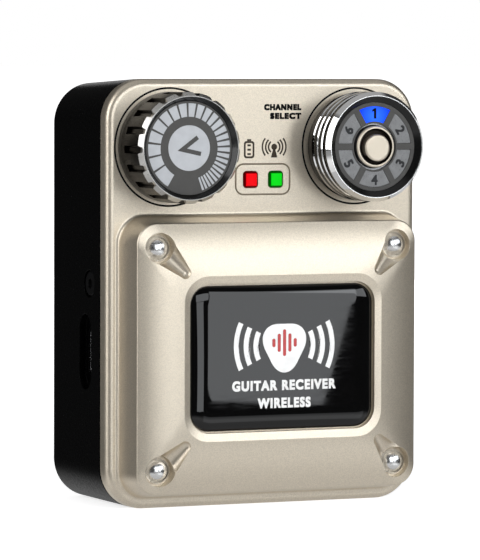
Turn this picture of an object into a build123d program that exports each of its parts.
from build123d import *
import os

os.makedirs("parts", exist_ok=True)

# A belt pack for a wireless guitar system. X is its width, Y its depth with the front at -Y,
# and Z is up from the centre of its base. All sizes are in millimetres.

# Case
case_width = 64.0
case_height = 80.0
case_depth = 27.2
corner_radius = 7.7
face_y = -case_depth / 2
rear_y = case_depth / 2
front_shell_depth = 3.2
seam_gap = 0.4
seam_y = face_y + front_shell_depth
shell_wall = 1.8
panel_thickness = 1.6
panel_back_y = face_y + panel_thickness
shell_edge_radius = 1.4
housing_wall = 2.0
side_draft = 0.5
top_draft = 0.9
rear_edge_radius = 0.7
base_trim = 0.005
tongue_length = 1.0
tongue_clearance = 0.2
tongue_thickness = 1.0

# Plateau on the front shell, and the badge window in it
plateau_z = 28.3
plateau_base = (59.5, 52.4, 5.1)
plateau_lip = (57.4, 50.3, 4.0)
plateau_mid = (49.2, 40.7, 4.6)
window_lip = (40.6, 30.7, 5.0)
window_opening = (38.1, 27.7, 4.0)
plateau_wall_height = 6.5
plateau_mid_height = 8.2
window_lip_height = 9.2
window_margin_height = 8.85
window_floor_height = 7.6
plateau_foot_radius = 0.7
plateau_lip_radius = 0.35
plateau_cavity = (41.0, 46.0, 3.0)
plateau_cavity_height = 5.8
badge_size = (37.4, 27.0, 3.7)
badge_plate_thickness = 0.5
badge_edge_thickness = 0.35
badge_sections = ((0, 0), (2.2, 0.5), (6.0, 0.83), (10.0, 0.95))

# Domed studs in tear-shaped pockets
stud_x = 24.4
stud_top_z = 48.83
stud_bottom_z = 7.64
stud_radius = 2.4
stud_shank_radius = 1.0
stud_shank_length = 4.0
stud_floor_height = 5.2
stud_pocket_radius = 2.9
tail_reach_x = 4.3
tail_reach_z = 4.4
tail_root_radius = 2.85
tail_root_height = 8.3
tail_tip_radius = 1.25
tail_tip_height = 9.4

# Dials
volume_x = -19.45
channel_x = 19.1
dial_z = 67.35
dial_recess_radius = 11.05
dial_recess_depth = 0.6
trim_ring_radius = 10.85
dial_radius = 10.3
rim_inner_radius = 9.55
knob_gap = 0.3
volume_ring_bore = 6.2
volume_face_height = 9.1
volume_face_radius = 8.65
volume_face_thickness = 0.5
knob_hub_radius = 5.2
knob_hub_foot_height = 2.4
knob_skirt_bore = 8.7
knob_web_back_height = 7.4
volume_rim_height = 10.1
channel_face_height = 8.5
channel_rim_height = 9.4
groove_count = 18
groove_start_angle = 1.6
groove_floor_radius = 9.7
groove_floor_half = 0.4
groove_mouth_half = 0.95
groove_foot_height = 2.9
shaft_radius = 3.0
shaft_foot_height = -4.4
shaft_bevel = 0.4
pot_half_width = 4.8
bushing_radius = 3.5
bushing_height = 1.8
washer_radius = 5.6
washer_back_height = -0.6
washer_front_height = -0.2
nut_half_width = 4.5
running_clearance = 0.06
neck_radius = 7.6
neck_bore = 6.9
neck_reach = 2.4
drum_floor_height = 1.0
rim_foot_height = 7.35
rim_foot_slope = 0.45
retainer_radius = 8.3
drum_bore = 8.28
ridge_heights = (2.35, 4.22, 6.1)
ridge_half_width = 0.55
ridge_bevel_depth = 0.25
ridge_bevel_length = 0.31
ridge_root_radius = 9.88
window_count = 6
spoke_width = 1.2
window_inner_radius = 4.7
window_outer_radius = 7.6
mask_radius = 8.33
mask_hole_radius = 4.4
mask_thickness = 0.8
bezel_thickness = 0.5
light_guide_bore = 4.1
light_guide_radius = 8.2
light_guide_thickness = 0.7
window_gap = 0.04
window_recess = 0.1
led_ring_radius = 6.1
led_size = (0.9, 1.6, 0.7)
led_board_thickness = 1.0
pin_count = 6
pin_pitch = 1.27
pin_half_width = 0.25
pin_row_drop = 5.0

# Scan button in the middle of the channel dial
collar_radius = 3.93
collar_bore = 3.55
collar_lip_bore = 3.15
collar_height = 9.0
collar_lip_thickness = 0.7
flange_radius = 3.43
flange_thickness = 0.5
button_edge_radius = 0.42
plunger_radius = 1.0
plunger_bore = 1.08
switch_half_width = 2.4
switch_height = 1.9
switch_bore_floor = 0.7
switch_play = 1.4
button_radius = 2.58
button_height = 9.85
button_drop = 0.22
button_travel = 0.5

# Status lights
red_light_x = -2.7
green_light_x = 2.5
light_z = 61.15
lens_size = (3.0, 3.1, 0.62)
lens_proud = 0.45
lens_bevel = 0.4
lens_window_gap = 0.07
lens_flange_size = (4.1, 4.2, 0.5)
lens_flange_thickness = 0.8
light_frame = (-0.15, 61.2, 11.5, 6.0, 1.7)
frame_line_width = 0.3
frame_line_depth = 0.2
light_stem_gap = 2.0
light_led_height = 0.6
light_led_half_width = 0.8
light_led_half_height = 0.4

# Boards and what they carry
board_thickness = 1.2
control_board_y = -7.6
main_board_y = -1.5
main_board_back_y = main_board_y + board_thickness
control_board_size = (49.0, 20.5, 1.5)
control_board_mid_z = 65.75
main_board_middle = (47.0, 71.0, 1.5)
main_board_middle_z = 40.0
main_board_wings = (58.4, 44.0, 1.5)
main_board_wings_z = 38.0
connector_x = (-7.0, 7.0)
connector_z = (56.0, 59.0)
shield_half_width = 13.0
shield_height = 2.8
shield_z = (34.0, 52.0)
shield_sheet = 0.3
antenna_x = (-4.0, 24.0)
antenna_y = (3.5, 10.5)
antenna_z = (75.6, 76.4)
antenna_plug_z = 68.0
antenna_plug_radius = 1.3
antenna_plug_thickness = 1.2
antenna_lead_x = 18.0
antenna_lead_y = 7.0
antenna_lead_radius = 0.45
antenna_lead_bend = 2.5
led_board_height = 5.0
battery = (44.0, 8.0, 52.0)
battery_front_y = 1.5
battery_bottom_z = 5.0
battery_edge_radius = 2.0
foam_half_width = 18.0
foam_z = (8.0, 54.0)
battery_plug_x = (5.0, 13.0)
battery_plug_z = (61.0, 65.5)
battery_plug_thickness = 3.8
battery_lead_xs = (7.8, 10.2)
battery_lead_top_z = 69.5
battery_lead_drop = 4.0
battery_lead_radius = 0.5
battery_lead_bend = 1.7
battery_lead_entry = 2.0
side_z = 28.9
socket_y = -3.1
socket_size = (3.2, 8.94)
socket_gap = 0.15
socket_inner_x = -22.9
socket_floor_x = -24.0
socket_length = 7.3
socket_sheet = 0.3
socket_tongue_x = -29.4
socket_tongue_half = 0.35
socket_tongue_reach = 3.3
switch_y = socket_y
port_recess = (6.0, 14.2)
jack_x = -14.0
jack_y = 2.6
jack_bore_radius = 1.8
jack_bore_length = 14.0
jack_top_z = 79.3
jack_body_half_width = 3.5
jack_body_depth = 2.9
jack_body_low_z = 63.5
jack_body_high_z = 75.0
jack_barrel_radius = 2.85

# Screws
case_screw_x = 27.2
case_screw_low_z = 5.8
case_screw_high_z = 74.2
case_screw_radius = 0.98
case_screw_head_radius = 1.85
case_screw_length = 23.0
front_boss_radius = 2.2
front_boss_length = 3.6
front_boss_back_y = seam_y + 3.0
pilot_depth = 4.0
case_post_front_y = -8.2
case_post_radius = 2.6
case_post_bore = 1.15
screw_seat_radius = 2.0
screw_seat_depth = 1.4
small_screw_radius = 0.8
small_pilot_radius = 0.82
small_screw_hole_radius = 1.0
small_head_radius = 1.7
small_head_thickness = 1.0
screw_sink = 0.2
cross_reach = 1.2
cross_width = 0.26
cross_depth = 0.6
side_screw_y = -5.02
side_screw_z = 41.74
side_screw_head_radius = 2.4
side_screw_seat_x = 30.85
side_screw_head_thickness = 0.85
side_screw_radius = 1.18
side_screw_length = 5.0
side_screw_drive_floor = 0.3
side_screw_drive_radius = 1.05
side_screw_bevel = 0.25
lug_inner_x = 24.8
lug_outer_x = 28.8
lug_back_y = -2.5
lug_half_height = 3.0
recess_floor_x = 30.4
switch_recess_half_width = 2.5
switch_recess_half_length = 5.0
switch_body_x = (24.6, 28.8)
switch_floor_x = 26.2
slider_foot_x = 26.6
slider_slot_half_width = 1.0
slider_slot_half_length = 2.5
slider_travel = 2.5
slider_grip_x = 31.65
slider_grip_half_width = 1.6
slider_grip_half_length = 2.0
grip_groove_pitch = 1.1
grip_groove_half_width = 0.2
grip_groove_depth = 0.25
slider_stem_half_width = 0.85
slider_stem_half_length = 0.9
board_post_x = 26.5
board_post_low_z = 20.0
board_post_high_z = 56.0
board_pilot_depth = 6.0
board_post_radius = 2.0
standoff_x = 6.0
standoff_z = 73.5
standoff_radius = 1.9
standoff_pilot_depth = 4.0

# Cuts that only have to run out of a part
overcut = 5.0

# Belt clip
pin_y = 17.2
pin_z = 66.0
pin_radius = 1.4
clip_width = 20.0
clip_thickness = 1.6
clip_line_y = 21.0
clip_top_z = 76.5
clip_lower_line = ((clip_line_y, 33.0), (14.9, 21.5), (18.6, 15.5))
clip_bend = 3.0
arm_ear_outer_x = 9.4
ear_radius = 2.6
bracket_half_width = 7.4
ear_thickness = 1.6
bracket_thickness = 1.2
bracket_height = 15.6
bracket_corner = 1.2
bracket_screw_offset = 5.3
bracket_screw_bore = 1.12
bracket_screw_length = 4.4
bracket_screw_head_radius = 2.0
bracket_seat_depth = 0.9
bracket_boss_radius = 2.2
bracket_boss_length = 3.0
bracket_mid_z = 66.0

case_mid_z = case_height / 2
rear_height = case_height - top_draft
stud_centres = [(x, z) for x in (-stud_x, stud_x) for z in (stud_bottom_z, stud_top_z)]
case_screw_centres = [
    (x, z) for x in (-case_screw_x, case_screw_x) for z in (case_screw_low_z, case_screw_high_z)
]
board_post_centres = [
    (x, z) for x in (-board_post_x, board_post_x) for z in (board_post_low_z, board_post_high_z)
]
bracket_screw_zs = (bracket_mid_z - bracket_screw_offset, bracket_mid_z + bracket_screw_offset)


def at_y(y):
    """A plane facing the front at depth y: sketch x is X, sketch y is Z, and it extrudes towards -Y."""
    return Plane.XZ.offset(-y)


def above_face(height):
    """A plane facing the front, a height in front of the panel."""
    return at_y(face_y - height)


def rounded(plane, size, centre=(0.0, 0.0)):
    """A rounded rectangle (width, height, corner radius) on a plane."""
    with BuildSketch(plane) as outline:
        with Locations(centre):
            RectangleRounded(*size)
    return outline.sketch


def discs(plane, centres, radius):
    """Equal discs on a plane."""
    with BuildSketch(plane) as circles:
        with Locations(*centres):
            Circle(radius)
    return circles.sketch


def turned(dial_x, profile, mode=Mode.ADD):
    """Turn a closed profile of (radius, height above the panel) points about a dial's axis."""
    with BuildSketch(Plane(origin=(dial_x, 0, dial_z))) as section:
        with BuildLine():
            Polyline(*[(radius, face_y - height) for radius, height in profile], close=True)
        make_face()
    revolve(section.sketch, axis=Axis((dial_x, 0, dial_z), (0, 1, 0)), mode=mode)


def block(x_span, y_span, z_span, mode=Mode.ADD):
    """A box between its limits along X, Y and Z."""
    size = [high - low for low, high in (x_span, y_span, z_span)]
    centre = [(low + high) / 2 for low, high in (x_span, y_span, z_span)]
    with Locations(tuple(centre)):
        Box(*size, mode=mode)


def save(piece, label):
    """Name a finished piece and write it to its own file."""
    piece.label = label
    export_step(piece, f"parts/{label}.step")


case_outline = (case_width, case_height, corner_radius)
inner_outline = (case_width - 2 * shell_wall, case_height - 2 * shell_wall, corner_radius - shell_wall)

# Front shell: a shallow rounded tray with a raised, crowned plateau, open at the back.
with BuildPart() as front_shell:
    tray = rounded(at_y(seam_y - seam_gap / 2), case_outline, (0, case_mid_z))
    extrude(tray, amount=front_shell_depth - seam_gap / 2)
    fillet(front_shell.edges().group_by(Axis.Y)[0], shell_edge_radius)
    wall = [
        rounded(above_face(0), plateau_base, (0, plateau_z)),
        rounded(above_face(plateau_wall_height), plateau_lip, (0, plateau_z)),
    ]
    loft(wall, ruled=True)
    crown = [
        rounded(above_face(plateau_wall_height), plateau_lip, (0, plateau_z)),
        rounded(above_face(plateau_mid_height), plateau_mid, (0, plateau_z)),
        rounded(above_face(window_lip_height), window_lip, (0, plateau_z)),
    ]
    loft(crown)
    lip_y = face_y - plateau_wall_height
    fillet(front_shell.edges().filter_by(lambda e: abs(e.center().Y - lip_y) < 0.05), plateau_lip_radius)
    foot_reach = plateau_base[1] / 2 + 0.1
    foot_edges = front_shell.edges().filter_by(
        lambda e: abs(e.center().Y - face_y) < 0.02 and abs(e.center().Z - plateau_z) < foot_reach
    )
    foot_half_width = plateau_base[0] / 2 + 0.1
    fillet(foot_edges.filter_by(lambda e: abs(e.center().X) < foot_half_width), plateau_foot_radius)

    # Badge window: a sloping margin, then a short wall down to the badge's floor
    margin = [
        rounded(above_face(window_lip_height), window_lip, (0, plateau_z)),
        rounded(above_face(window_margin_height), window_opening, (0, plateau_z)),
    ]
    loft(margin, ruled=True, mode=Mode.SUBTRACT)
    well = rounded(above_face(window_floor_height), window_opening, (0, plateau_z))
    extrude(well, amount=window_lip_height - window_floor_height, mode=Mode.SUBTRACT)

    # Stud pockets, each with a tail that tapers towards the window's corner
    stud_pockets = discs(above_face(stud_floor_height), stud_centres, stud_pocket_radius)
    extrude(stud_pockets, amount=overcut, mode=Mode.SUBTRACT)
    shank_holes = discs(above_face(stud_floor_height), stud_centres, stud_shank_radius + 0.02)
    extrude(shank_holes, amount=-stud_shank_length - 0.2, mode=Mode.SUBTRACT)
    for x, z in stud_centres:
        side = -1 if x > 0 else 1
        rise = 1 if z < plateau_z else -1
        root = Vector(x, face_y - tail_root_height, z)
        tip = Vector(x + side * tail_reach_x, face_y - tail_tip_height, z + rise * tail_reach_z)
        along = tip - root
        across = along.cross(Vector(0, 1, 0))
        sections = []
        for place, radius in ((root, tail_root_radius), (tip, tail_tip_radius)):
            with BuildSketch(Plane(origin=place, x_dir=across, z_dir=along)) as section:
                Circle(radius)
            sections.append(section.sketch)
        loft(sections, mode=Mode.SUBTRACT)
        with Locations(tip):
            Sphere(tail_tip_radius, mode=Mode.SUBTRACT)

    # Hollow back
    hollow = rounded(at_y(seam_y), inner_outline, (0, case_mid_z))
    extrude(hollow, amount=seam_y - panel_back_y, mode=Mode.SUBTRACT)
    cavity = rounded(at_y(panel_back_y), plateau_cavity, (0, plateau_z))
    extrude(cavity, amount=panel_thickness + plateau_cavity_height, mode=Mode.SUBTRACT)

    # Dial seats, light windows and the engraved line around the lights
    dial_centres = [(volume_x, dial_z), (channel_x, dial_z)]
    seats = discs(at_y(face_y + dial_recess_depth), dial_centres, dial_recess_radius)
    extrude(seats, amount=overcut, mode=Mode.SUBTRACT)
    for x, radius in ((volume_x, bushing_radius), (channel_x, neck_radius)):
        extrude(discs(at_y(seam_y), [(x, dial_z)], radius + 0.1), amount=overcut, mode=Mode.SUBTRACT)
    for x in (red_light_x, green_light_x):
        window_size = [size + 2 * lens_window_gap for size in lens_size[:2]]
        window = rounded(at_y(seam_y), (*window_size, lens_size[2] + lens_window_gap), (x, light_z))
        extrude(window, amount=overcut, mode=Mode.SUBTRACT)
    frame_x, frame_z, frame_w, frame_h, frame_r = light_frame
    with BuildSketch(at_y(face_y + frame_line_depth)) as engraved_line:
        with Locations((frame_x, frame_z)):
            RectangleRounded(frame_w, frame_h, frame_r)
            offset(amount=-frame_line_width, mode=Mode.SUBTRACT)
    extrude(engraved_line.sketch, amount=overcut, mode=Mode.SUBTRACT)

    # Screw bosses, board standoffs and the side screws' lugs
    bosses = discs(at_y(panel_back_y + front_boss_length), case_screw_centres, front_boss_radius)
    extrude(bosses, amount=front_boss_length + 0.1)
    boss_pilots = discs(at_y(front_boss_back_y), case_screw_centres, case_screw_radius + 0.02)
    extrude(boss_pilots, amount=pilot_depth, mode=Mode.SUBTRACT)
    standoff_centres = [(-standoff_x, standoff_z), (standoff_x, standoff_z)]
    standoffs = discs(at_y(control_board_y), standoff_centres, standoff_radius)
    extrude(standoffs, amount=control_board_y - panel_back_y + 0.1)
    standoff_pilots = discs(at_y(control_board_y), standoff_centres, small_pilot_radius)
    extrude(standoff_pilots, amount=standoff_pilot_depth, mode=Mode.SUBTRACT)
    lug_z = (side_screw_z - lug_half_height, side_screw_z + lug_half_height)
    for side in (-1, 1):
        block(sorted((side * lug_inner_x, side * lug_outer_x)), (panel_back_y - 0.1, lug_back_y), lug_z)
    with BuildSketch(Plane.YZ) as lug_hole:
        with Locations((side_screw_y, side_screw_z)):
            Circle(side_screw_radius + 0.02)
    extrude(lug_hole.sketch, amount=case_width / 2, both=True, mode=Mode.SUBTRACT)

save(front_shell.part, "front_shell")

# Rear housing: a deep tray with drafted sides and a tongue that fills the seam from inside
rear_outline = (case_width - 2 * side_draft, rear_height)
housing_inner = (case_width - 2 * housing_wall, case_height - 2 * housing_wall, corner_radius - housing_wall)
rear_inner = (*[size - 2 * housing_wall for size in rear_outline], corner_radius - housing_wall)
rear_inner_y = rear_y - housing_wall
housing_front_y = seam_y + seam_gap / 2
with BuildPart() as rear_housing:
    rear_section = (rear_outline[0], rear_height + base_trim, corner_radius)
    front_section = (case_width, case_height + base_trim, corner_radius)
    outer = [
        rounded(at_y(rear_y), rear_section, (0, (rear_height - base_trim) / 2)),
        rounded(at_y(housing_front_y), front_section, (0, (case_height - base_trim) / 2)),
    ]
    loft(outer, ruled=True)
    split(bisect_by=Plane.XY, keep=Keep.TOP)
    fillet(rear_housing.edges().group_by(Axis.Y)[-1], rear_edge_radius)
    inner = [
        rounded(at_y(rear_inner_y), rear_inner, (0, rear_height / 2)),
        rounded(at_y(housing_front_y), housing_inner, (0, case_mid_z)),
    ]
    loft(inner, ruled=True, mode=Mode.SUBTRACT)
    with BuildSketch(at_y(housing_front_y + tongue_length)) as tongue:
        with Locations((0, case_mid_z)):
            RectangleRounded(*[size - 2 * tongue_clearance for size in inner_outline[:2]], inner_outline[2])
            offset(amount=-tongue_thickness, mode=Mode.SUBTRACT)
    extrude(tongue.sketch, amount=2 * tongue_length + seam_gap)
    post_foot = at_y(rear_inner_y + 0.1)
    case_posts = discs(post_foot, case_screw_centres, case_post_radius)
    extrude(case_posts, amount=rear_inner_y - case_post_front_y + 0.1)
    boss_room = discs(at_y(case_post_front_y), case_screw_centres, case_post_radius - 0.1)
    extrude(boss_room, amount=overcut, mode=Mode.SUBTRACT)
    case_screw_bores = discs(at_y(rear_y), case_screw_centres, case_post_bore)
    extrude(case_screw_bores, amount=case_depth, mode=Mode.SUBTRACT)
    case_screw_seats = discs(at_y(rear_y), case_screw_centres, screw_seat_radius)
    extrude(case_screw_seats, amount=screw_seat_depth, mode=Mode.SUBTRACT)
    board_posts = discs(post_foot, board_post_centres, board_post_radius)
    extrude(board_posts, amount=rear_inner_y - main_board_back_y + 0.1)
    board_pilots = discs(at_y(main_board_back_y), board_post_centres, small_pilot_radius)
    extrude(board_pilots, amount=-board_pilot_depth, mode=Mode.SUBTRACT)
    bracket_screw_centres = [(0, z) for z in bracket_screw_zs]
    extrude(discs(post_foot, bracket_screw_centres, bracket_boss_radius), amount=bracket_boss_length + 0.1)
    bracket_bores = discs(at_y(rear_y), bracket_screw_centres, bracket_screw_bore)
    extrude(bracket_bores, amount=housing_wall + bracket_boss_length - 0.4, mode=Mode.SUBTRACT)

    # Side walls: a screw recess on each, a port recess on the left and a switch recess on the right
    with BuildSketch(Plane.YZ) as screw_hole:
        with Locations((side_screw_y, side_screw_z)):
            Circle(side_screw_radius + 0.12)
    extrude(screw_hole.sketch, amount=case_width, both=True, mode=Mode.SUBTRACT)
    with BuildSketch(Plane.YZ.offset(side_screw_seat_x)) as right_screw_recess:
        with Locations((side_screw_y, side_screw_z)):
            Circle(side_screw_head_radius + 0.2)
    extrude(right_screw_recess.sketch, amount=overcut, mode=Mode.SUBTRACT)
    mirrored_recess = mirror(right_screw_recess.sketch, about=Plane.YZ, mode=Mode.PRIVATE)
    extrude(mirrored_recess, amount=-overcut, dir=(1, 0, 0), mode=Mode.SUBTRACT)
    with BuildSketch(Plane.YZ.offset(-recess_floor_x)) as port_outline:
        with Locations((socket_y, side_z)):
            SlotOverall(port_recess[1], port_recess[0], rotation=90)
    extrude(port_outline.sketch, amount=-overcut, mode=Mode.SUBTRACT)
    with BuildSketch(Plane.YZ.offset(-recess_floor_x)) as socket_hole:
        with Locations((socket_y, side_z)):
            SlotOverall(socket_size[1] + 2 * socket_gap, socket_size[0] + 2 * socket_gap, rotation=90)
    extrude(socket_hole.sketch, amount=overcut, both=True, mode=Mode.SUBTRACT)
    recess_y = (switch_y - switch_recess_half_width, switch_y + switch_recess_half_width)
    recess_z = (side_z - switch_recess_half_length, side_z + switch_recess_half_length)
    block((recess_floor_x, recess_floor_x + overcut), recess_y, recess_z, Mode.SUBTRACT)
    slot_y = (switch_y - slider_slot_half_width, switch_y + slider_slot_half_width)
    slot_z = (side_z - slider_slot_half_length, side_z + slider_slot_half_length)
    block((recess_floor_x - overcut / 2, recess_floor_x + overcut), slot_y, slot_z, Mode.SUBTRACT)

    # Jack hole in the top wall
    with BuildSketch(Plane.XY.offset(case_height)) as jack_hole:
        with Locations((jack_x, jack_y)):
            Circle(jack_barrel_radius + 0.15)
    extrude(jack_hole.sketch, amount=-overcut, mode=Mode.SUBTRACT)

save(rear_housing.part, "rear_housing")

# Badge: a flat plate on the window's floor under a crowned dome
badge_front_y = face_y - window_floor_height - badge_plate_thickness
with BuildPart() as badge_plate:
    floor_outline = rounded(above_face(window_floor_height), badge_size, (0, plateau_z))
    extrude(floor_outline, amount=badge_plate_thickness)

save(badge_plate.part, "badge_plate")

with BuildPart() as badge_dome:
    edge_plane = at_y(badge_front_y)
    extrude(rounded(edge_plane, badge_size, (0, plateau_z)), amount=badge_edge_thickness)
    width, height, radius = badge_size
    dome_sections = []
    for inset, rise in badge_sections:
        section_size = (width - 2 * inset, height - 2 * inset, radius - inset / 4)
        plane = at_y(badge_front_y - badge_edge_thickness - rise)
        dome_sections.append(rounded(plane, section_size, (0, plateau_z)))
    loft(dome_sections)

save(badge_dome.part, "badge_dome")

# Domed studs with their shanks
stud_edge_height = 0.7
dome_foot_radius = 2.1
dome_foot_rise = 0.9
dome_rise = 1.15
dome_sphere = (dome_foot_radius**2 + dome_rise**2) / (2 * dome_rise)
with BuildPart() as dome_studs:
    floor_y = face_y - stud_floor_height
    for x, z in stud_centres:
        with BuildSketch(Plane(origin=(x, 0, z))) as stud_section:
            with BuildLine():
                dome_foot = (dome_foot_radius, floor_y - dome_foot_rise)
                Polyline((0, floor_y - dome_foot_rise - dome_rise), (0, floor_y + stud_shank_length),
                         (stud_shank_radius, floor_y + stud_shank_length), (stud_shank_radius, floor_y),
                         (stud_radius, floor_y), (stud_radius, floor_y - stud_edge_height), dome_foot)
                RadiusArc(dome_foot, (0, floor_y - dome_foot_rise - dome_rise), dome_sphere)
            make_face()
        revolve(stud_section.sketch, axis=Axis((x, 0, z), (0, 1, 0)))

save(dome_studs.part, "dome_studs")


def trim_ring(dial_x, bore_radius, label):
    """A flat ring that fills a dial's seat, flush with the panel."""
    with BuildPart() as ring:
        turned(dial_x, [(bore_radius, -dial_recess_depth), (trim_ring_radius, -dial_recess_depth),
                        (trim_ring_radius, 0), (bore_radius, 0)])
    save(ring.part, label)


trim_ring(volume_x, volume_ring_bore, "volume_trim_ring")
trim_ring(channel_x, neck_radius + 0.1, "channel_trim_ring")

# Volume knob: a grooved cup with a hub, and a bevelled rim around a sunken dial face
knob_floor_height = volume_face_height - volume_face_thickness
with BuildPart() as volume_knob:
    turned(volume_x, [
        (shaft_radius + 0.02, knob_hub_foot_height), (knob_hub_radius, knob_hub_foot_height),
        (knob_hub_radius, knob_web_back_height), (knob_skirt_bore, knob_web_back_height),
        (knob_skirt_bore, knob_gap),
        (dial_radius, knob_gap), (dial_radius, volume_face_height),
        (rim_inner_radius + 0.05, volume_rim_height),
        (rim_inner_radius - 0.05, volume_rim_height), (rim_inner_radius - 0.05, knob_floor_height),
        (shaft_radius + 0.02, knob_floor_height),
    ])
    groove_foot = (volume_x, face_y - groove_foot_height, dial_z)
    groove_plane = Plane(origin=groove_foot, x_dir=(1, 0, 0), z_dir=(0, -1, 0))
    with BuildSketch(groove_plane) as grooves:
        with PolarLocations(0, groove_count, start_angle=180 + groove_start_angle):
            Polygon((groove_floor_radius, -groove_floor_half), (dial_radius + 0.3, -groove_mouth_half),
                    (dial_radius + 0.3, groove_mouth_half), (groove_floor_radius, groove_floor_half),
                    align=None)
    extrude(grooves.sketch, amount=volume_rim_height, mode=Mode.SUBTRACT)

save(volume_knob.part, "volume_knob")

with BuildPart() as volume_dial_face:
    turned(volume_x, [(0, knob_floor_height), (volume_face_radius, knob_floor_height),
                      (volume_face_radius, volume_face_height), (0, volume_face_height)])

save(volume_dial_face.part, "volume_dial_face")


def bezel(dial_x, inner_radius, face_height, rim_height, label):
    """A black ring inside a dial's rim, sloping down to its face."""
    floor_height = face_height - bezel_thickness
    with BuildPart() as ring:
        turned(dial_x, [
            (inner_radius, floor_height), (rim_inner_radius - 0.08, floor_height),
            (rim_inner_radius - 0.08, rim_height - 0.05), (rim_inner_radius - 0.18, rim_height - 0.05),
            (inner_radius, face_height + 0.05),
        ])
    save(ring.part, label)


bezel(volume_x, volume_face_radius + 0.07, volume_face_height, volume_rim_height, "volume_bezel")

shaft_top_height = knob_floor_height - shaft_bevel
with BuildPart() as volume_shaft:
    turned(volume_x, [(0, shaft_foot_height), (shaft_radius, shaft_foot_height),
                      (shaft_radius, shaft_top_height - shaft_bevel),
                      (shaft_radius - shaft_bevel, shaft_top_height), (0, shaft_top_height)])

save(volume_shaft.part, "volume_shaft")

with BuildPart() as volume_pot:
    pot_x = (volume_x - pot_half_width, volume_x + pot_half_width)
    pot_z = (dial_z - pot_half_width, dial_z + pot_half_width)
    block(pot_x, (panel_back_y + 0.2, control_board_y), pot_z)
    bushing_foot_height = -panel_thickness - 0.2
    turned(volume_x, [(0, bushing_foot_height), (bushing_radius, bushing_foot_height),
                      (bushing_radius, bushing_height), (0, bushing_height)])
    bore_radius = shaft_radius + running_clearance
    bore_foot_height = shaft_foot_height - 0.2
    turned(volume_x, [(0, bore_foot_height), (bore_radius, bore_foot_height),
                      (bore_radius, bushing_height + 0.2), (0, bushing_height + 0.2)], Mode.SUBTRACT)

save(volume_pot.part, "volume_pot")

with BuildPart() as pot_washer:
    washer_bore = bushing_radius + 0.1
    turned(volume_x, [(washer_bore, washer_back_height), (washer_radius, washer_back_height),
                      (washer_radius, washer_front_height), (washer_bore, washer_front_height)])

save(pot_washer.part, "pot_washer")

with BuildPart() as pot_nut:
    with BuildSketch(above_face(washer_front_height)) as hexagon:
        with Locations((volume_x, dial_z)):
            RegularPolygon(nut_half_width, 6, major_radius=False)
            Circle(bushing_radius + 0.02, mode=Mode.SUBTRACT)
    extrude(hexagon.sketch, amount=bushing_height)

save(pot_nut.part, "pot_nut")

# Channel drum: a fixed ridged barrel whose neck passes through the panel
drum_floor_y = face_y - drum_floor_height
guide_ledge_y = face_y - channel_face_height + mask_thickness + light_guide_thickness
neck_back_y = face_y + neck_reach
with BuildPart() as channel_drum:
    with BuildSketch(Plane(origin=(channel_x, 0, dial_z))) as drum_section:
        with BuildLine():
            Polyline((drum_bore, drum_floor_y), (neck_bore, drum_floor_y), (neck_bore, neck_back_y),
                     (neck_radius, neck_back_y), (neck_radius, face_y),
                     (ridge_root_radius, face_y),
                     (ridge_root_radius, face_y - ridge_heights[0] + ridge_half_width))
            for number, height in enumerate(ridge_heights):
                ridge_end = (ridge_root_radius, face_y - height - ridge_half_width)
                Polyline((ridge_root_radius, face_y - height + ridge_half_width),
                         (dial_radius, face_y - height + ridge_half_width),
                         (dial_radius, face_y - height - ridge_half_width + ridge_bevel_length),
                         (dial_radius - ridge_bevel_depth, face_y - height - ridge_half_width), ridge_end)
                if number + 1 < len(ridge_heights):
                    next_foot_y = face_y - ridge_heights[number + 1] + ridge_half_width
                    Line(ridge_end, (ridge_root_radius, next_foot_y))
            Polyline(ridge_end, (ridge_root_radius, face_y - rim_foot_height),
                     (dial_radius, face_y - rim_foot_height - rim_foot_slope),
                     (dial_radius, face_y - channel_face_height),
                     (rim_inner_radius + 0.05, face_y - channel_rim_height),
                     (rim_inner_radius - 0.05, face_y - channel_rim_height),
                     (rim_inner_radius - 0.05, face_y - channel_face_height + bezel_thickness),
                     (mask_radius + 0.02, face_y - channel_face_height + bezel_thickness),
                     (mask_radius + 0.02, guide_ledge_y), (drum_bore, guide_ledge_y),
                     (drum_bore, drum_floor_y))
        make_face()
    revolve(drum_section.sketch, axis=Axis((channel_x, 0, dial_z), (0, 1, 0)))

save(channel_drum.part, "channel_drum")

with BuildPart() as drum_retainer:
    turned(channel_x, [(neck_radius + 0.02, -neck_reach), (retainer_radius, -neck_reach),
                       (retainer_radius, -panel_thickness), (neck_radius + 0.02, -panel_thickness)])

save(drum_retainer.part, "drum_retainer")

bezel(channel_x, mask_radius + 0.04, channel_face_height, channel_rim_height, "channel_bezel")


def window_outline(plane, index, shrink):
    """One dial window: a ring sector whose sides run parallel to the spokes beside it."""
    half_step = 180 / window_count
    with BuildSketch(plane) as outline:
        with Locations((channel_x, dial_z)):
            Circle(window_outer_radius - shrink)
            Circle(window_inner_radius + shrink, mode=Mode.SUBTRACT)
        spoke_reach = 2 * window_outer_radius
        for side in (-1, 1):
            middle = 90 - index * 2 * half_step
            inward = middle - side * 90
            edge = middle + side * half_step
            offset_distance = spoke_width / 2 + shrink
            edge_direction = Vector(1, 0).rotate(Axis.Z, edge)
            inward_direction = Vector(1, 0).rotate(Axis.Z, edge - side * 90)
            centre = Vector(channel_x, dial_z) + inward_direction * (offset_distance + spoke_reach / 2)
            with Locations(Location((centre.X, centre.Y, 0), (0, 0, edge))):
                Rectangle(2 * spoke_reach, spoke_reach, mode=Mode.INTERSECT)
    return outline.sketch


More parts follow.
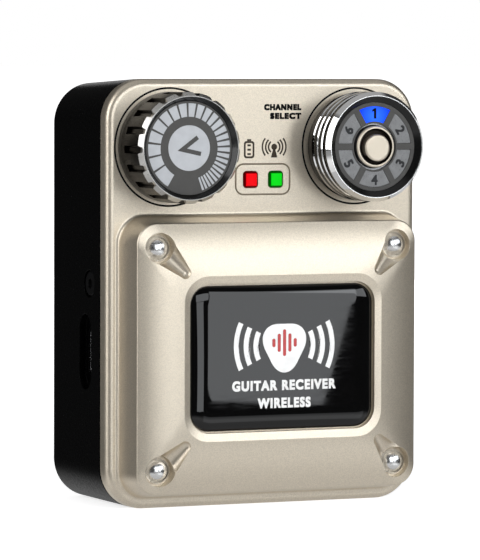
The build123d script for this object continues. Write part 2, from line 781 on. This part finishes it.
# Channel mask: a dark disc with six windows, and the six lenses that fill them
mask_back_height = channel_face_height - mask_thickness
with BuildPart() as channel_mask:
    turned(channel_x, [(mask_hole_radius, mask_back_height), (mask_radius, mask_back_height),
                       (mask_radius, channel_face_height), (mask_hole_radius, channel_face_height)])
    for index in range(window_count):
        extrude(window_outline(above_face(mask_back_height), index, 0), amount=overcut, mode=Mode.SUBTRACT)

save(channel_mask.part, "channel_mask")

for index in range(window_count):
    with BuildPart() as channel_window:
        lens_outline = window_outline(above_face(mask_back_height), index, window_gap)
        extrude(lens_outline, amount=mask_thickness - window_recess)
    save(channel_window.part, f"channel_window_{index + 1}")

with BuildPart() as channel_light_guide:
    guide_back_height = mask_back_height - light_guide_thickness
    turned(channel_x, [(light_guide_bore, guide_back_height), (light_guide_radius, guide_back_height),
                       (light_guide_radius, mask_back_height), (light_guide_bore, mask_back_height)])

save(channel_light_guide.part, "channel_light_guide")

# Round LED board inside the drum, its LEDs, its switch and its pins
led_board_back_height = led_board_height - led_board_thickness
with BuildPart() as channel_led_board:
    turned(channel_x, [(0, led_board_back_height), (light_guide_radius, led_board_back_height),
                       (light_guide_radius, led_board_height), (0, led_board_height)])

save(channel_led_board.part, "channel_led_board")

with BuildPart() as channel_leds:
    led_middle_y = face_y - led_board_height - led_size[2] / 2
    with Locations(Plane(origin=(channel_x, led_middle_y, dial_z), x_dir=(1, 0, 0), z_dir=(0, -1, 0))):
        with PolarLocations(led_ring_radius, window_count, start_angle=90):
            Box(*led_size)

save(channel_leds.part, "channel_leds")

with BuildPart() as scan_switch:
    switch_back_y = face_y - led_board_height
    switch_x = (channel_x - switch_half_width, channel_x + switch_half_width)
    switch_z = (dial_z - switch_half_width, dial_z + switch_half_width)
    block(switch_x, (switch_back_y - switch_height, switch_back_y), switch_z)
    bore_floor_height = led_board_height + switch_bore_floor
    bore_end_height = led_board_height + switch_height + 1
    turned(channel_x, [(0, bore_floor_height), (plunger_bore, bore_floor_height),
                       (plunger_bore, bore_end_height), (0, bore_end_height)], Mode.SUBTRACT)

save(scan_switch.part, "scan_switch")

with BuildPart() as dial_pins:
    pin_front_y = face_y - led_board_back_height
    row_z = dial_z - pin_row_drop
    for number in range(pin_count):
        pin_x = channel_x + (number - (pin_count - 1) / 2) * pin_pitch
        block((pin_x - pin_half_width, pin_x + pin_half_width), (pin_front_y, control_board_y),
              (row_z - pin_half_width, row_z + pin_half_width))

save(dial_pins.part, "dial_pins")

# Button collar and scan button: the collar's lip keeps the button's flange in
lip_back_height = collar_height - collar_lip_thickness
with BuildPart() as button_collar:
    turned(channel_x, [
        (collar_bore, led_board_height), (collar_radius, led_board_height),
        (collar_radius, collar_height - 0.2),
        (collar_radius - 0.2, collar_height), (collar_lip_bore + 0.25, collar_height),
        (collar_lip_bore, collar_height - 0.25), (collar_lip_bore, lip_back_height),
        (collar_bore, lip_back_height),
    ])

save(button_collar.part, "button_collar")

flange_front_height = lip_back_height - 0.1
flange_back_height = flange_front_height - flange_thickness
with BuildPart() as scan_button:
    turned(channel_x, [(0, flange_back_height), (flange_radius, flange_back_height),
                       (flange_radius, flange_front_height), (0, flange_front_height)])
    cap = discs(above_face(flange_front_height), [(channel_x, dial_z - button_drop)], button_radius)
    extrude(cap, amount=button_height - flange_front_height)
    fillet(scan_button.edges().group_by(Axis.Y)[0], button_edge_radius)

save(scan_button.part, "scan_button")

with BuildPart() as switch_plunger:
    plunger_back_height = led_board_height + switch_play
    turned(channel_x, [(0, plunger_back_height), (plunger_radius, plunger_back_height),
                       (plunger_radius, flange_back_height), (0, flange_back_height)])

save(switch_plunger.part, "switch_plunger")

# Status lights: a bevelled lens in each window and an LED behind it
for label, x in (("red_lens", red_light_x), ("green_lens", green_light_x)):
    with BuildPart() as status_lens:
        stem_back_y = control_board_y - light_stem_gap
        stem = rounded(at_y(stem_back_y), lens_size, (x, light_z))
        extrude(stem, amount=stem_back_y - face_y + lens_proud)
        chamfer(status_lens.edges().group_by(Axis.Y)[0], lens_bevel)
        lens_flange = rounded(at_y(panel_back_y + lens_flange_thickness), lens_flange_size, (x, light_z))
        extrude(lens_flange, amount=lens_flange_thickness)
    save(status_lens.part, label)

with BuildPart() as status_leds:
    for x in (red_light_x, green_light_x):
        block((x - light_led_half_width, x + light_led_half_width),
              (control_board_y - light_led_height, control_board_y),
              (light_z - light_led_half_height, light_z + light_led_half_height))

save(status_leds.part, "status_leds")

# Control board behind the dials
with BuildPart() as control_board:
    control_board_back_y = control_board_y + board_thickness
    board_outline = rounded(at_y(control_board_back_y), control_board_size, (0, control_board_mid_z))
    extrude(board_outline, amount=board_thickness)
    board_holes = discs(at_y(control_board_back_y), standoff_centres, small_screw_hole_radius)
    extrude(board_holes, amount=overcut, mode=Mode.SUBTRACT)

save(control_board.part, "control_board")

# Main board: a tall middle with wings that carry the side sockets
with BuildPart() as main_board:
    for size, middle_z in ((main_board_middle, main_board_middle_z), (main_board_wings, main_board_wings_z)):
        extrude(rounded(at_y(main_board_back_y), size, (0, middle_z)), amount=board_thickness)
    board_holes = discs(at_y(main_board_back_y), board_post_centres, small_screw_hole_radius)
    extrude(board_holes, amount=overcut, mode=Mode.SUBTRACT)

save(main_board.part, "main_board")

with BuildPart() as board_connector:
    block(connector_x, (control_board_y + board_thickness, main_board_y), connector_z)

save(board_connector.part, "board_connector")

with BuildPart() as radio_shield:
    low_z, high_z = shield_z
    block((-shield_half_width, shield_half_width), (main_board_y - shield_height, main_board_y), shield_z)
    inner_half_width = shield_half_width - shield_sheet
    inner_front_y = main_board_y - shield_height + shield_sheet
    block((-inner_half_width, inner_half_width), (inner_front_y, main_board_y),
          (low_z + shield_sheet, high_z - shield_sheet), Mode.SUBTRACT)

save(radio_shield.part, "radio_shield")

with BuildPart() as antenna_board:
    block(antenna_x, antenna_y, antenna_z)

save(antenna_board.part, "antenna_board")

plug_back_y = main_board_back_y + antenna_plug_thickness
with BuildPart() as antenna_plug:
    with BuildSketch(at_y(plug_back_y)) as plug_disc:
        with Locations((antenna_lead_x, antenna_plug_z)):
            Circle(antenna_plug_radius)
    extrude(plug_disc.sketch, amount=antenna_plug_thickness)

save(antenna_plug.part, "antenna_plug")


def wire(points, radius, bend):
    """A round wire along straight runs joined by tangent arcs."""
    with BuildLine() as route:
        FilletPolyline(*points, radius=bend)
    start_plane = Plane(origin=route.line @ 0, z_dir=route.line % 0)
    with BuildSketch(start_plane) as section:
        Circle(radius)
    sweep(section.sketch, path=route.line)


with BuildPart() as antenna_lead:
    wire([(antenna_lead_x, antenna_lead_y, antenna_z[0]), (antenna_lead_x, antenna_lead_y, antenna_plug_z),
          (antenna_lead_x, plug_back_y, antenna_plug_z)], antenna_lead_radius, antenna_lead_bend)

save(antenna_lead.part, "antenna_lead")

# Battery pack, its foam pad, leads and connector
battery_width, battery_thickness, battery_length = battery
battery_top_z = battery_bottom_z + battery_length
battery_back_y = battery_front_y + battery_thickness
with BuildPart() as battery_pack:
    battery_x = (-battery_width / 2, battery_width / 2)
    block(battery_x, (battery_front_y, battery_back_y), (battery_bottom_z, battery_top_z))
    fillet(battery_pack.edges().filter_by(Axis.Z), battery_edge_radius)

save(battery_pack.part, "battery_pack")

with BuildPart() as battery_foam:
    block((-foam_half_width, foam_half_width), (battery_back_y, rear_inner_y - 0.1), foam_z)

save(battery_foam.part, "battery_foam")

with BuildPart() as battery_connector:
    block(battery_plug_x, (main_board_back_y, main_board_back_y + battery_plug_thickness), battery_plug_z)

save(battery_connector.part, "battery_connector")

lead_y = battery_back_y - battery_lead_drop
plug_y = main_board_back_y + battery_lead_entry
with BuildPart() as battery_leads:
    for x in battery_lead_xs:
        wire([(x, lead_y, battery_top_z), (x, lead_y, battery_lead_top_z), (x, plug_y, battery_lead_top_z),
              (x, plug_y, battery_plug_z[1])], battery_lead_radius, battery_lead_bend)

save(battery_leads.part, "battery_leads")

# Charging socket behind the left recess
with BuildPart() as charge_socket:
    with BuildSketch(Plane.YZ.offset(socket_inner_x)) as socket_shell:
        with Locations((socket_y, side_z)):
            SlotOverall(socket_size[1], socket_size[0], rotation=90)
    extrude(socket_shell.sketch, amount=-socket_length)
    with BuildSketch(Plane.YZ.offset(socket_floor_x)) as socket_cavity:
        with Locations((socket_y, side_z)):
            SlotOverall(socket_size[1] - 2 * socket_sheet, socket_size[0] - 2 * socket_sheet, rotation=90)
    extrude(socket_cavity.sketch, amount=-socket_length, mode=Mode.SUBTRACT)

save(charge_socket.part, "charge_socket")

with BuildPart() as charge_socket_tongue:
    block((socket_tongue_x, socket_floor_x), (socket_y - socket_tongue_half, socket_y + socket_tongue_half),
          (side_z - socket_tongue_reach, side_z + socket_tongue_reach))

save(charge_socket_tongue.part, "charge_socket_tongue")

# Output jack under the top wall
with BuildPart() as output_jack:
    jack_body_x = (jack_x - jack_body_half_width, jack_x + jack_body_half_width)
    block(jack_body_x, (main_board_back_y, jack_y + jack_body_depth), (jack_body_low_z, jack_body_high_z))
    with BuildSketch(Plane.XY.offset(jack_body_high_z)) as barrel:
        with Locations((jack_x, jack_y)):
            Circle(jack_barrel_radius)
    extrude(barrel.sketch, amount=jack_top_z - jack_body_high_z)
    with BuildSketch(Plane.XY.offset(jack_top_z)) as jack_bore:
        with Locations((jack_x, jack_y)):
            Circle(jack_bore_radius)
    extrude(jack_bore.sketch, amount=-jack_bore_length, mode=Mode.SUBTRACT)

save(output_jack.part, "output_jack")

# Slide switch on the right and the slider that works it
with BuildPart() as slide_switch:
    body_z = (side_z - switch_recess_half_length, side_z + switch_recess_half_length)
    block(switch_body_x, (switch_y - slider_grip_half_width, main_board_y), body_z)
    channel_y = (switch_y - slider_slot_half_width, switch_y + slider_slot_half_width)
    channel_z = (side_z - slider_slot_half_length, side_z + slider_slot_half_length)
    block((switch_floor_x, recess_floor_x), channel_y, channel_z, Mode.SUBTRACT)

save(slide_switch.part, "slide_switch")

slider_z = side_z - slider_travel / 2
with BuildPart() as power_slider:
    stem_y = (switch_y - slider_stem_half_width, switch_y + slider_stem_half_width)
    stem_z = (slider_z - slider_stem_half_length, slider_z + slider_stem_half_length)
    block((slider_foot_x, recess_floor_x + 0.3), stem_y, stem_z)
    grip_y = (switch_y - slider_grip_half_width, switch_y + slider_grip_half_width)
    grip_z = (slider_z - slider_grip_half_length, slider_z + slider_grip_half_length)
    block((recess_floor_x + 0.15, slider_grip_x), grip_y, grip_z)
    for rise in (-grip_groove_pitch, 0, grip_groove_pitch):
        groove_z = (slider_z + rise - grip_groove_half_width, slider_z + rise + grip_groove_half_width)
        block((slider_grip_x - grip_groove_depth, slider_grip_x + 1), grip_y, groove_z, Mode.SUBTRACT)

save(power_slider.part, "power_slider")

# Screws
with BuildPart() as side_screws:
    for side in (-1, 1):
        seat = Plane(origin=(side * side_screw_seat_x, side_screw_y, side_screw_z), z_dir=(side, 0, 0))
        with BuildSketch(seat) as head_disc:
            Circle(side_screw_head_radius)
        extrude(head_disc.sketch, amount=side_screw_head_thickness)
        with BuildSketch(seat) as shank_disc:
            Circle(side_screw_radius)
        extrude(shank_disc.sketch, amount=-side_screw_length)
        with BuildSketch(seat.offset(side_screw_drive_floor)) as drive_recess:
            RegularPolygon(side_screw_drive_radius, 6)
        extrude(drive_recess.sketch, amount=overcut, mode=Mode.SUBTRACT)
    head_rims = side_screws.edges().filter_by(GeomType.CIRCLE).group_by(Axis.X)
    chamfer(head_rims[0] + head_rims[-1], side_screw_bevel)

save(side_screws.part, "side_screws")


def flat_screws(centres, head_y, head, shank, label):
    """Screws driven from behind, with a cross recess in the head. Head and shank are (radius, length)."""
    head_radius, head_thickness = head
    shank_radius, shank_length = shank
    with BuildPart() as screws:
        extrude(discs(at_y(head_y), centres, head_radius), amount=head_thickness)
        extrude(discs(at_y(head_y - head_thickness), centres, shank_radius), amount=shank_length)
        with BuildSketch(at_y(head_y)) as crosses:
            with Locations(*centres):
                Rectangle(head_radius * cross_reach, head_radius * cross_width)
                Rectangle(head_radius * cross_width, head_radius * cross_reach)
        extrude(crosses.sketch, amount=head_thickness * cross_depth, mode=Mode.SUBTRACT)
    save(screws.part, label)


case_screw_head = (case_screw_head_radius, screw_seat_depth - screw_sink - 0.05)
flat_screws(case_screw_centres, rear_y - screw_sink, case_screw_head, (case_screw_radius, case_screw_length),
            "case_screws")
bracket_screw_head = (bracket_screw_head_radius, bracket_seat_depth - 0.1)
flat_screws(bracket_screw_centres, rear_y + bracket_thickness - 0.1, bracket_screw_head,
            (bracket_screw_bore - 0.04, bracket_screw_length), "bracket_screws")
small_head = (small_head_radius, small_head_thickness)
flat_screws(standoff_centres, control_board_y + board_thickness + small_head_thickness, small_head,
            (small_screw_radius, standoff_pilot_depth), "control_board_screws")

# Main board screws are driven from the front, into the housing's posts
with BuildPart() as main_board_screws:
    extrude(discs(at_y(main_board_y), board_post_centres, small_head_radius), amount=small_head_thickness)
    extrude(discs(at_y(main_board_y), board_post_centres, small_screw_radius), amount=-board_pilot_depth)

save(main_board_screws.part, "main_board_screws")

# Clip bracket: a plate on the back with two ears for the pin
with BuildPart() as clip_bracket:
    plate_size = (2 * bracket_half_width, bracket_height, bracket_corner)
    bracket_back = at_y(rear_y + bracket_thickness)
    extrude(rounded(bracket_back, plate_size, (0, bracket_mid_z)), amount=bracket_thickness)
    for side in (-1, 1):
        outer_x = side * bracket_half_width
        with BuildSketch(Plane.YZ.offset(outer_x)) as bracket_ear:
            with Locations((pin_y, pin_z)):
                Circle(ear_radius)
            with Locations(((rear_y + pin_y) / 2, pin_z)):
                Rectangle(pin_y - rear_y, 2 * ear_radius)
        extrude(bracket_ear.sketch, amount=-side * ear_thickness)
    with BuildSketch(Plane.YZ) as pin_hole:
        with Locations((pin_y, pin_z)):
            Circle(pin_radius)
    extrude(pin_hole.sketch, amount=clip_width, both=True, mode=Mode.SUBTRACT)
    bracket_bores = discs(bracket_back, bracket_screw_centres, bracket_screw_bore)
    extrude(bracket_bores, amount=overcut, mode=Mode.SUBTRACT)
    seat_plane = at_y(rear_y + bracket_thickness - bracket_seat_depth)
    screw_seats = discs(seat_plane, bracket_screw_centres, bracket_screw_head_radius + 0.05)
    extrude(screw_seats, amount=-bracket_thickness, mode=Mode.SUBTRACT)

save(clip_bracket.part, "clip_bracket")

with BuildPart() as clip_pin:
    with BuildSketch(Plane.YZ) as pin_disc:
        with Locations((pin_y, pin_z)):
            Circle(pin_radius)
    extrude(pin_disc.sketch, amount=arm_ear_outer_x, both=True)

save(clip_pin.part, "clip_pin")

# Clip arm: a thumb plate above the pin, a long leg below it, and a tooth that turns out again
with BuildPart() as clip_arm:
    with BuildSketch(Plane.YZ) as arm_section:
        with BuildLine() as arm_line:
            FilletPolyline((clip_line_y, clip_top_z), *clip_lower_line, radius=clip_bend)
        trace(line_width=clip_thickness)
    extrude(arm_section.sketch, amount=clip_width / 2, both=True)
    fillet(clip_arm.edges().filter_by(Axis.Y).group_by(Axis.Z)[-1], clip_bend)
    for side in (-1, 1):
        with BuildSketch(Plane.YZ.offset(side * arm_ear_outer_x)) as arm_ear:
            with Locations((pin_y, pin_z)):
                Circle(ear_radius)
            with Locations(((pin_y + clip_line_y) / 2, pin_z)):
                Rectangle(clip_line_y - pin_y, 2 * ear_radius)
        extrude(arm_ear.sketch, amount=-side * ear_thickness)
    with BuildSketch(Plane.YZ) as arm_bore:
        with Locations((pin_y, pin_z)):
            Circle(pin_radius + running_clearance)
    extrude(arm_bore.sketch, amount=clip_width, both=True, mode=Mode.SUBTRACT)

save(clip_arm.part, "clip_arm")

# Torsion spring on the pin: a coil with one leg on the bracket and one on the thumb plate
coil_radius = 1.95
coil_wire_radius = 0.3
coil_turns = 6.5
coil_length = 6.5
leg_length = 5.0
with BuildPart() as clip_spring:
    helix = Helix(coil_length / coil_turns, coil_length, coil_radius,
                  center=(-coil_length / 2, pin_y, pin_z), direction=(1, 0, 0), mode=Mode.PRIVATE)
    coil = helix.rotate(Axis((0, pin_y, pin_z), (1, 0, 0)), 90)
    for end, reach in ((0, -leg_length), (1, leg_length)):
        with BuildSketch(Plane(origin=coil @ end, z_dir=coil % end)) as leg_disc:
            Circle(coil_wire_radius)
        extrude(leg_disc.sketch, amount=reach)
    with BuildSketch(Plane(origin=coil @ 0, z_dir=coil % 0)) as wire_disc:
        Circle(coil_wire_radius)
    sweep(wire_disc.sketch, path=coil, is_frenet=True)

save(clip_spring.part, "clip_spring")
